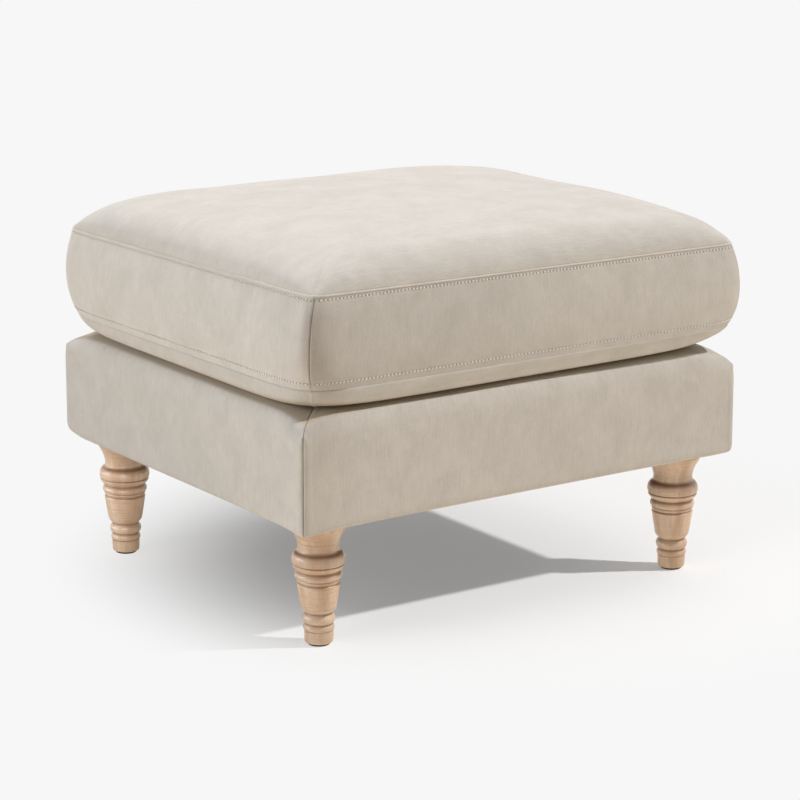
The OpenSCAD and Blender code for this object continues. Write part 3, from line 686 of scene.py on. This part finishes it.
def glide_finish():
    finish = Finish("dark glide", linear(44, 42, 41), 0.5)
    scuffs = finish.noise((300, 300, 90), 4, 0.7)
    finish.colour(finish.mix(scuffs.within(0.55, 0.8), linear(40, 38, 37), linear(92, 88, 84)))
    finish.feed(finish.shader, "Roughness", scuffs.within(0.4, 0.7, 0.42, 0.7))
    finish.bump(scuffs, 0.0001)
    return finish.material


def steel_finish():
    finish = Finish("zinc steel", linear(170, 172, 174), 0.34, metallic=1.0)
    spangle = finish.noise((220, 220, 220), 3, 0.6)
    finish.colour(finish.mix(spangle, linear(150, 152, 155), linear(192, 194, 196)))
    finish.feed(finish.shader, "Roughness", spangle.within(0.3, 0.7, 0.28, 0.45))
    return finish.material


def weave_finish(name, colours, pitch):
    """Plain weave read from the object's place, over and under along X and Y."""
    finish = Finish(name, linear(*colours[0]), 0.9)
    rate = 1000 / pitch
    over = finish.node("ShaderNodeTexChecker", None, {
        "Vector": finish.object_place((rate, rate, 0)), "Scale": 1.0, "Color1": (1, 1, 1, 1),
        "Color2": (0, 0, 0, 1)}, "Fac")
    slub = finish.noise((rate * 0.3, rate * 0.02, 1), 2, 0.6)
    finish.colour(finish.mix(over * 0.5 + slub * 0.5, linear(*colours[0]), linear(*colours[1])))
    finish.bump(over * 0.6 + slub * 0.4, 0.0003)
    return finish.material


def foam_finish():
    finish = Finish("cut foam", linear(233, 226, 200), 0.95)
    cells = finish.node("ShaderNodeTexVoronoi", None, {
        "Vector": finish.object_place((900, 900, 900)), "Scale": 1.0}, "Distance")
    finish.colour(finish.mix(cells, linear(214, 205, 176), linear(240, 234, 210)))
    finish.bump(cells, 0.0005)
    return finish.material


def fibre_finish():
    finish = Finish("fibre wadding", linear(240, 238, 232), 0.98)
    strands = finish.noise((160, 160, 160), 6, 0.75, 2.0)
    finish.colour(finish.mix(strands.within(0.3, 0.7), linear(224, 222, 216), linear(246, 245, 241)))
    finish.bump(strands, 0.0012)
    return finish.material


def zip_tape_finish():
    finish = Finish("zip tape", linear(190, 180, 165), 0.85)
    knit = finish.noise((1600, 200, 1600), 2, 0.6)
    finish.colour(finish.mix(knit, linear(176, 166, 150), linear(206, 197, 182)))
    finish.bump(knit, 0.0002)
    return finish.material


def zip_coil_finish():
    finish = Finish("zip coil", linear(186, 176, 160), 0.4)
    worn = finish.noise((500, 500, 500), 2, 0.5)
    finish.colour(finish.mix(worn, linear(170, 160, 144), linear(200, 190, 174)))
    return finish.material


def slider_finish():
    finish = Finish("slider metal", linear(150, 148, 144), 0.3, metallic=1.0)
    wear = finish.noise((700, 700, 700), 3, 0.6)
    finish.colour(finish.mix(wear.within(0.4, 0.7), linear(120, 117, 112), linear(186, 184, 180)))
    finish.feed(finish.shader, "Roughness", wear.within(0.3, 0.7, 0.24, 0.45))
    return finish.material


# Pieces of the base


def base_cover(side, finish):
    along = marks(150, 1.9)
    x, y = base_outline(side, along, 0)
    round_low, low = HEM_ROUND, 0
    for corner, (rounder, lower) in HEM_CORNERS.items():
        away = np.hypot(x - corner[0] * BASE_HALF[0], y - corner[1] * BASE_HALF[1])
        round_low = round_low + rounder * groove(away, 22)
        low = low + lower * np.exp(-away / 55)
    # Rows of inset and height, from the cut edge round the hem and up. Over the deck the height is None
    stations = [(round_low + HEM_WIDTH * (1 - s), UNDERSIDE) for s in np.linspace(0, 1, 17)]
    stations += [(round_low * (1 - math.sin(t)), UNDERSIDE + round_low * (1 - math.cos(t)))
                 for t in np.linspace(0, math.pi / 2, 11)[1:]]
    top = WALL_TOP - edge_lower(x, y)
    stations += [(0 * x, between(UNDERSIDE + round_low, top, s)) for s in np.linspace(0, 1, 29)[1:]]
    stations += [(DECK_BORDER * s ** 2 + 0 * x, None) for s in np.linspace(0, 1, 46)[1:]]
    waves = unevenness(11 + SIDES.index(side), 9, 70, 260)
    rows = []
    for inset, z in stations:
        x, y = base_outline(side, along, inset)
        if z is None:
            height = deck_height(x, y)
        else:
            height = z - low * np.clip(1 - inset / 13, 0, 1) * eased((WALL_TOP - z) / 90)
        rows.append(np.stack([x, y, height + 0 * x], -1))
    points = np.array(rows)
    out = np.cross(np.gradient(points, axis=1), np.gradient(points, axis=0))
    out /= np.maximum(np.linalg.norm(out, axis=-1, keepdims=True), 1e-9)
    lengths = cut_lengths(points)
    end = np.abs(lengths[..., 0]).max() - np.abs(lengths[..., 0])
    up = lengths[..., 1]
    visible = eased((up - HEM_HIDDEN) / 12)
    calm = eased(end / 20)
    lift = 0.5 * waves(lengths[..., 0], up) * calm * visible
    lift += BASE_FULLER * eased((up - HEM_WIDTH) / 14) * (1 - eased((up - 130) / 26))
    lift -= 1.1 * groove(end, 1.0) * visible
    # The seam allowances lie under the ends of the front and the back
    lift += 0.3 * (1 - eased((end - 7) / 3)) * visible if side in ("front", "back") else 0
    return panel("cover_" + side, points + out * lift[..., None], finish, "base", "base_cover_" + side)


def deck_cloth(finish):
    half = [size - DECK_BORDER for size in BASE_HALF]
    x, y = np.meshgrid(np.linspace(-1, 1, 61) * half[0], np.linspace(-1, 1, 51) * half[1])
    edge, _ = from_edges(x, y, half)
    hollows = 0.2 * (1 + unevenness(31, 8, 60, 220)(x, y)) * eased(edge / 30)
    points = np.stack([x, y, WALL_TOP + DECK_RISE - hollows], -1)
    return panel("deck_cloth_panel", points, finish, "base", "deck_cloth")


def deck_filling(finish):
    """Foam under the deck cloth and the covers' shoulders, down to the springs' cover."""
    u, v = np.meshgrid(marks(60, 1.8), marks(52, 1.8))
    x, y = spread(u, v, [size - FOAM_INSIDE for size in BASE_HALF], FOAM_SQUARE)
    from_side, _ = from_edges(x, y, BASE_HALF)
    top = np.stack([x, y, deck_height(x, y) - 2.2 - 6 * np.exp(-from_side / 8)], -1)
    bottom = np.stack([x, y, 0 * x + FOAM_LOW], -1)
    return solid_between("deck_foam_block", top, bottom, finish, "base", "deck_foam")


# Half outline of a leg from its foot up: runs of radius and height, curved where there are three or more
LEG_PROFILE = (
    # foot, small bead, groove, bead
    ((0, 2.5), (14.9, 2.5)),
    ((14.9, 2.5), (15.9, 3.1), (16.4, 4.4), (16.7, 7), (17.0, 17.4)),
    ((17.0, 17.4), (17.8, 18.8), (18.1, 21.4), (17.4, 23.6), (16.4, 25)),
    ((16.4, 25), (16.3, 26)),
    ((16.3, 26), (18.1, 27.8), (19.3, 31.8), (18.4, 35.4), (16.5, 37.8)),
    ((16.5, 37.8), (16.3, 39)),
    # vase with its top edge, and the notch over it
    ((16.3, 39), (17.5, 40.2), (19.2, 42.2), (20.7, 45), (21.5, 49), (22.2, 53.4), (23.3, 60), (24.7, 69.4),
     (25.3, 72.6)),
    ((25.3, 72.6), (25.1, 73.4), (24.2, 74.6), (24.3, 76)),
    # fillet and bead
    ((24.3, 76), (25.2, 77), (25.5, 78.4), (25.0, 79.4)),
    ((25.0, 79.4), (26.7, 81), (27.5, 83.7), (26.7, 86.2), (24.9, 87.9)),
    ((24.9, 87.9), (24.5, 88.7)),
    # double ring that widens out over its neck
    ((24.5, 88.7), (26.2, 90.4), (28.4, 92.6), (29.9, 95), (30.0, 96.2), (29.3, 97.2)),
    ((29.3, 97.2), (30.4, 98.6), (31.0, 102.6), (30.3, 106.8), (28.3, 110), (25.7, 112.2)),
    # cavetto and block under the stool
    ((25.7, 112.2), (24.4, 114), (24.0, 117), (24.1, 120.2), (25.2, 125), (27.4, 131), (30.2, 136),
     (33.6, 142.2)),
    ((33.6, 142.2), (34.0, 142.8), (34.0, 148.6)),
    ((34.0, 148.6), (33.4, 149.4), (0, 149.4)))


def smooth_run(run):
    """Points along a smooth curve through a run of the profile."""
    points = np.array(run, float)
    if len(points) == 2:
        return points
    chord = run_along(points)
    slope = np.gradient(points, chord, axis=0)
    curve = []
    for i in range(len(points) - 1):
        gap = chord[i + 1] - chord[i]
        for t in np.linspace(0, 1, 7)[(0 if i == 0 else 1):]:
            curve.append((2 * t ** 3 - 3 * t ** 2 + 1) * points[i]
                         + (t ** 3 - 2 * t ** 2 + t) * gap * slope[i]
                         + (3 * t ** 2 - 2 * t ** 3) * points[i + 1]
                         + (t ** 3 - t ** 2) * gap * slope[i + 1])
    return np.array(curve)


def leg(name, x, y, finish):
    """A turned leg. Each has a turn of its own, so that its facets lie its own way."""
    bm = bmesh.new()
    last = None
    for run in LEG_PROFILE:
        for radius, z in smooth_run(run)[(0 if last is None else 1):]:
            vert = bm.verts.new((radius * MM, 0, z * MM))
            if last is not None:
                bm.edges.new((last, vert))
            last = vert
    bmesh.ops.spin(bm, geom=bm.verts[:] + bm.edges[:], cent=(0, 0, 0), axis=(0, 0, 1), dvec=(0, 0, 0),
                   angle=math.tau, steps=72, use_merge=True, use_duplicate=False)
    bmesh.ops.remove_doubles(bm, verts=bm.verts, dist=1e-7)
    bmesh.ops.recalc_face_normals(bm, faces=bm.faces)
    bmesh.ops.rotate(bm, verts=bm.verts, matrix=Matrix.Rotation(x + 2 * y, 3, "Z"))
    bmesh.ops.translate(bm, verts=bm.verts, vec=(x * MM, y * MM, 0))
    return finished("turned_" + name, mesh_of(bm, name), finish, "base", name)


# Pieces of the cushion


def border_relief(side, along, up, waves, puckers):
    """Height of the border's sewn lines, puckers and soft hills over its even form."""
    length = SEAM_HALF[0] if side in ("front", "back") else SEAM_HALF[1]
    run = along * length
    end = length * (1 - np.abs(along))
    under_seam = (1 - up) * BORDER_HIGH
    over_fold = up * BORDER_HIGH
    middle = eased(under_seam / 22) * eased(over_fold / 18)
    lift = 0.9 * waves(run, over_fold) * middle
    lift -= 0.45 * groove(under_seam - ROW_UNDER_SEAM, 1.3)
    lift -= 0.35 * groove(over_fold - ROW_OVER_FOLD, 1.3)
    lift += (0.35 * puckers(run) * groove(under_seam - 11, 6)
             + 0.25 * puckers(run + 500) * groove(over_fold - 12, 5))
    lift -= 1.3 * groove(end, 1.0) * eased(over_fold / 5) * eased(under_seam / 4)
    lift += 0.5 * groove(end - 3.2, 2.0) * eased(over_fold / 5)
    if side == "back":
        zip_edge = np.abs(np.abs(over_fold - (ZIP_LOW + ZIP_HIGH) / 2 + FOLD_Z) - (ZIP_HIGH - ZIP_LOW) / 2)
        lift = lift * eased((zip_edge - 4) / 10) + 0.5 * groove(zip_edge, 3)
    return lift


def border_panel(name, side, finish, *nodes, low=0.0, high=1.0, rows=56, first=-1.0, last=1.0):
    number = SIDES.index(side)
    waves = unevenness(51 + number, 10, 50, 200)
    puckers = unevenness(71 + number, 5, 8, 26)
    along, up = np.meshgrid(marks(220, 1.6, first, last), marks(rows, 1.3, low, high))
    lift = border_relief(side, along, up, waves, puckers)
    points = raised(lambda a, b: border(side, a, b), along, up, lift)
    cut = np.stack([np.interp(along, *border_run(side)), up * BORDER_HIGH], -1)
    return panel(name, points, finish, "cushion", *nodes, cut=cut)


def border_run(side):
    """How far from the middle of the cut border strip each mark between its corners lies."""
    middle = 1000
    along = np.linspace(-1, 1, 2 * middle + 1)
    run = run_along(border(side, along, np.full_like(along, 0.5)))
    return along, run - run[middle]


def top_panel(finish):
    u, v = np.meshgrid(marks(200, 1.7), marks(180, 1.7))
    x, y = u * SEAM_HALF[0], v * SEAM_HALF[1]
    from_seam, _ = from_edges(x, y, SEAM_HALF)
    hills = unevenness(91, 12, 90, 320)(x, y) * eased(from_seam / 60)
    round_seam = np.where(SEAM_HALF[0] - np.abs(x) < SEAM_HALF[1] - np.abs(y), y, x)
    puckers = unevenness(92, 6, 9, 30)(round_seam) * groove(from_seam - 6, 7)
    return panel("cushion_top", raised(crown, u, v, 1.1 * hills + 0.3 * puckers), finish, "cushion",
                 "cushion_top_panel", ribs_across=True)


def bottom_panel(finish):
    rim = np.linspace(ROLL_FROM, 1, 46)
    middle = np.linspace(-ROLL_FROM, ROLL_FROM, 71)[1:-1]
    line = np.concatenate([-rim[::-1], middle, rim])
    u, v = np.meshgrid(line, -line)
    ring = ring_of(u, v)
    from_seam = (ring - np.minimum(np.abs(u), np.abs(v))) * REST_HALF[1]
    lift = -0.9 * groove(from_seam, 1.5) * eased((ring - ROLL_FROM) / 0.04)
    lift -= 0.04 * groove((1 - ring) * 280, 2.5)
    return panel("cushion_bottom", raised(roll, u, v, lift), finish, "cushion", "cushion_bottom_panel",
                 ribs_across=True)


def seam_ridge(finish):
    """The raised, turned-in edge along the seam between top and border."""
    loop = []
    for side in SIDES:
        along = marks(160, 1.6)[:-1]
        loop.append(border(side, along, np.ones_like(along)))
    loop = np.concatenate(loop)
    ahead, behind = np.roll(loop, -1, 0), np.roll(loop, 1, 0)
    way = ahead - behind
    out = np.stack([way[:, 1], -way[:, 0], 0 * way[:, 0]], -1)
    out /= np.linalg.norm(out, axis=1, keepdims=True)
    size = 1 + 0.12 * unevenness(101, 6, 12, 60)(np.cumsum(np.linalg.norm(way, axis=1)) / 2)
    # It lies flatter towards the far end of the left side
    proud = 1 - 0.85 * eased((-loop[:, 0] - 250) / 50) * eased((loop[:, 1] + 240) / 300)
    up = np.array([0, 0, 1.0])
    rows = []
    for turn in np.linspace(0, math.tau, 13):
        rows.append(loop + out * (proud * (0.2 + 0.9 * size * math.cos(turn)))[:, None]
                    + up * (proud * (0.4 + 1.1 * size * math.sin(turn)))[:, None])
    points = np.array(rows)
    points = np.concatenate([points, points[:, :1]], 1)
    return finished("cushion_seam", grid_mesh("cushion_seam", points, ring=True), finish, "cushion")


def row_of_stitches(name, finish, up):
    """Short stitches end to end round the border at one height, each a small rounded bar."""
    bm = bmesh.new()
    bmesh.ops.create_uvsphere(bm, u_segments=6, v_segments=4, radius=0.5)
    bmesh.ops.scale(bm, verts=bm.verts, vec=(STITCH_THICK * MM, STITCH_THICK * MM, STITCH_LENGTH * MM))
    stitch = mesh_of(bm, "stitch")
    places = []
    for side in SIDES:
        marks_along, run = border_run(side)
        last = math.floor((run[-1] - 3) / STITCH_PITCH)
        along = np.interp(np.arange(-last, last + 1) * STITCH_PITCH, run, marks_along)
        at = np.full_like(along, up)
        line = border(side, along, at)
        way = border(side, along + SMALL_STEP, at) - border(side, along - SMALL_STEP, at)
        normal = np.cross(way, border(side, along, at + SMALL_STEP) - border(side, along, at - SMALL_STEP))
        for middle, ahead, outward in zip(line, way, normal):
            out = Vector(outward).normalized()
            ahead = Matrix.Rotation(STITCH_SLANT, 3, out) @ Vector(ahead).normalized()
            # Known fault: these axes mirror the stitch, so that its faces point inwards
            place = Matrix((out, out.cross(ahead), ahead)).transposed().to_4x4()
            place.translation = (Vector(middle) + out * 0.15) * MM
            places.append(place)
    return finished(name, repeated(name, stitch, places), finish, "cushion")


def fillings(finishes):
    """Foam core between fold and seam, and fibre under and over it, cut to the settled cushion."""
    u, v = np.meshgrid(marks(44, 1.5), marks(40, 1.5))

    def level(half, square, z):
        x, y = spread(u, v, [size - FILLING_INSIDE for size in half], square)
        return settled(x, y, z + 0 * x)

    fold = level(FOLD_HALF, FOLD_SQUARE, FOLD_Z)
    seam = level(SEAM_HALF, SEAM_SQUARE, SEAM_Z)
    down = np.array([0, 0, 0.3])
    top = raised(crown, u * 0.99, v * 0.99, np.full_like(u, -3.0))
    under = roll(u * 0.985, v * 0.985) + np.array([0, 0, 2.0])
    return (solid_between("core", seam - down, fold + down, finishes["foam"], "cushion", "foam_core"),
            solid_between("fibre_over", np.maximum(top, seam + down), seam + down * 0.5, finishes["fibre"],
                          "cushion", "fibre_top"),
            solid_between("fibre_under", fold - down, np.minimum(under, fold - down * 2), finishes["fibre"],
                          "cushion", "fibre_bottom"))


# Studio

# The floor's colour as the camera sees it, and as it lights the stool from below
FLOOR_SEEN = (0.74, 0.74, 0.74, 1)
FLOOR_BOUNCE = (0.77, 0.69, 0.6, 1)
WHITE = 0.93
AMBIENT = 0.21
# Shadows on the floor fade out away from here, as they do in the photograph
SHADOW_MIDDLE = (0.16, -0.06)
SHADOW_FULL, SHADOW_GONE = 0.3, 0.62


def add_floor():
    bm = bmesh.new()
    bmesh.ops.create_grid(bm, x_segments=8, y_segments=8, size=40)
    mesh = mesh_of(bm, "floor")
    finish = Finish("pale floor", FLOOR_SEEN, 1.0, specular_ior_level=0.0)
    camera_ray = finish.node("ShaderNodeLightPath", output="Is Camera Ray")
    finish.colour(finish.mix(camera_ray, FLOOR_BOUNCE, FLOOR_SEEN))
    place = finish.node("ShaderNodeTexCoord", output="Object")
    away = finish.node("ShaderNodeVectorMath", {"operation": "DISTANCE"},
                       {0: place, 1: (*SHADOW_MIDDLE, 0)}, "Value")
    clear = finish.node("ShaderNodeEmission", None, {"Strength": WHITE})
    finish.material.cycles.emission_sampling = "NONE"
    mixed = finish.node("ShaderNodeMixShader", None, {
        0: away.within(SHADOW_FULL, SHADOW_GONE) * camera_ray, 1: Field(finish, finish.shader.outputs[0]),
        2: clear})
    finish.feed(finish.tree.nodes["Material Output"], "Surface", mixed)
    mesh.materials.append(finish.material)
    floor = bpy.data.objects.new("floor", mesh)
    bpy.context.scene.collection.objects.link(floor)
    return floor


def sun(name, way, strength, width, colour, named, on_named, shadow=True):
    """A distant lamp that lights either only the named object or all the rest."""
    data = bpy.data.lights.new(name, "SUN")
    data.energy = strength
    data.angle = math.radians(width)
    data.color = colour
    data.use_shadow = shadow
    lamp = bpy.data.objects.new(name, data)
    lamp.matrix_world = Vector(way).to_track_quat("-Z", "Y").to_matrix().to_4x4()
    bpy.context.scene.collection.objects.link(lamp)
    lit = bpy.data.collections.new(name + " lights")
    lit.objects.link(named)
    lit.collection_objects[0].light_linking.link_state = "INCLUDE" if on_named else "EXCLUDE"
    lamp.light_linking.receiver_collection = lit


def surroundings(ambient):
    """Even light from all round, seen as white where the camera or a shiny surface looks past the stool."""
    world = bpy.data.worlds.new("studio")
    world.use_nodes = True
    bpy.context.scene.world = world
    tree = world.node_tree
    path = tree.nodes.new("ShaderNodeLightPath")
    seen = tree.nodes.new("ShaderNodeMath")
    seen.operation = "MAXIMUM"
    tree.links.new(path.outputs["Is Camera Ray"], seen.inputs[0])
    tree.links.new(path.outputs["Is Glossy Ray"], seen.inputs[1])
    level = tree.nodes.new("ShaderNodeMapRange")
    level.inputs["To Min"].default_value = ambient
    level.inputs["To Max"].default_value = WHITE
    tree.links.new(seen.outputs[0], level.inputs["Value"])
    background = tree.nodes["Background"]
    background.inputs["Color"].default_value = (1, 1, 1, 1)
    tree.links.new(level.outputs["Result"], background.inputs["Strength"])


add_camera()
bpy.context.scene.view_settings.view_transform = "Standard"
surroundings(AMBIENT)
floor = add_floor()
# Suns: direction, strength, width in degrees and colour. Some light only the floor, the others all but it
sun("floor key", (-0.58, 0.43, -0.57), 2.85, 2.5, (1, 1, 1), floor, True)
sun("floor overhead", (-0.5, -0.2, -0.84), 0.48, 60, (1, 1, 1), floor, True)
sun("floor left", (0.86, 0.15, -0.46), 0.48, 40, (1, 1, 1), floor, True)
sun("floor wash", (0, 0, -1), 0.95, 20, (1, 1, 1), floor, True, shadow=False)
sun("key", (-0.492, 0.295, -0.819), 2.04, 3, (1.003, 1.0, 1.02), floor, False)
sun("back", (-0.044, -0.498, -0.866), 1.43, 40, (0.987, 1.0, 1.074), floor, False)
sun("left", (0.843, -0.527, -0.105), 2.16, 50, (0.92, 1.0, 1.115), floor, False)
sun("front", (-0.621, 0.74, -0.259), 0.15, 30, (0.8, 1.0, 1.2), floor, False)

finishes = {
    "upholstery": upholstery_finish("woven upholstery"),
    "border": upholstery_finish("stitched border cloth", stitched=True),
    # The folded edge is lighter where it catches the light: a painted highlight
    "ridge": upholstery_finish("folded cloth edge with painted highlight", tints=((217, 210, 198), (222, 215, 203))),
    "thread": thread_finish(), "turned_wood": turned_wood_finish(),
    "frame_wood": frame_wood_finish(), "glide": glide_finish(), "steel": steel_finish(),
    "hessian": weave_finish("loose hessian", ((196, 178, 142), (164, 142, 104)), 1.4),
    "foam": foam_finish(), "fibre": fibre_finish(),
    "deck_lining": weave_finish("deck lining", ((190, 182, 170), (172, 163, 150)), 0.7),
    "dust_fabric": weave_finish("dust fabric", ((62, 59, 57), (46, 44, 42)), 0.5),
    "zip_fabric": zip_tape_finish(), "zip_nylon": zip_coil_finish(), "slider_metal": slider_finish()}

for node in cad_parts.values():
    for number, material in enumerate(list(node.data.materials)):
        node.data.materials[number] = finishes[material.name.split(".")[0]]

cloth, border_cloth = finishes["upholstery"], finishes["border"]
for side in SIDES:
    base_cover(side, cloth)
deck_piece = deck_cloth(finishes["deck_lining"])
deck_block = deck_filling(finishes["foam"])
legs = {}
for end_y, place_y in (("front", -LEG_Y), ("back", LEG_Y)):
    for end_x, place_x in (("left", -LEG_X), ("right", LEG_X)):
        name = f"leg_{end_y}_{end_x}"
        legs[name] = leg(name, place_x, place_y, finishes["turned_wood"])
# The far leg stands in the base's shadow
sun("far leg", (0.6, 0.75, -0.25), 1.3, 40, (1, 1, 1), legs["leg_back_left"], True)

slot_low = (ZIP_LOW - FOLD_Z) / BORDER_HIGH
slot_high = (ZIP_HIGH - FOLD_Z) / BORDER_HIGH
zip_end = ZIP_HALF / ZIP_BORDER_HALF
padded_pieces = [top_panel(cloth), bottom_panel(cloth)]
for side in ("front", "right", "left"):
    padded_pieces.append(border_panel("cushion_" + side, side, border_cloth, "cushion_border_" + side))
for strip, span in (("lower", {"high": slot_low}), ("upper", {"low": slot_high})):
    padded_pieces.append(border_panel("cushion_back_" + strip, "back", border_cloth,
                                      "cushion_border_back_" + strip, rows=30, **span))
padded_pieces += fillings(finishes)
# Known fault: the settled corner carries the left tab 7 mm from the zip's end, which leaves a hole there
for name, first, last, *nodes in (("zip_tab_left", zip_end, 1.0),
                                  ("zip_tab_right", -1.0, -zip_end, "zip_end_tabs")):
    border_panel(name, "back", cloth, *nodes, low=slot_low, high=slot_high, rows=5, first=first, last=last)
seam_ridge(finishes["ridge"])
row_of_stitches("stitches_under_seam", finishes["thread"], 1 - ROW_UNDER_SEAM / BORDER_HIGH)
row_of_stitches("stitches_over_fold", finishes["thread"], ROW_OVER_FOLD / BORDER_HIGH)
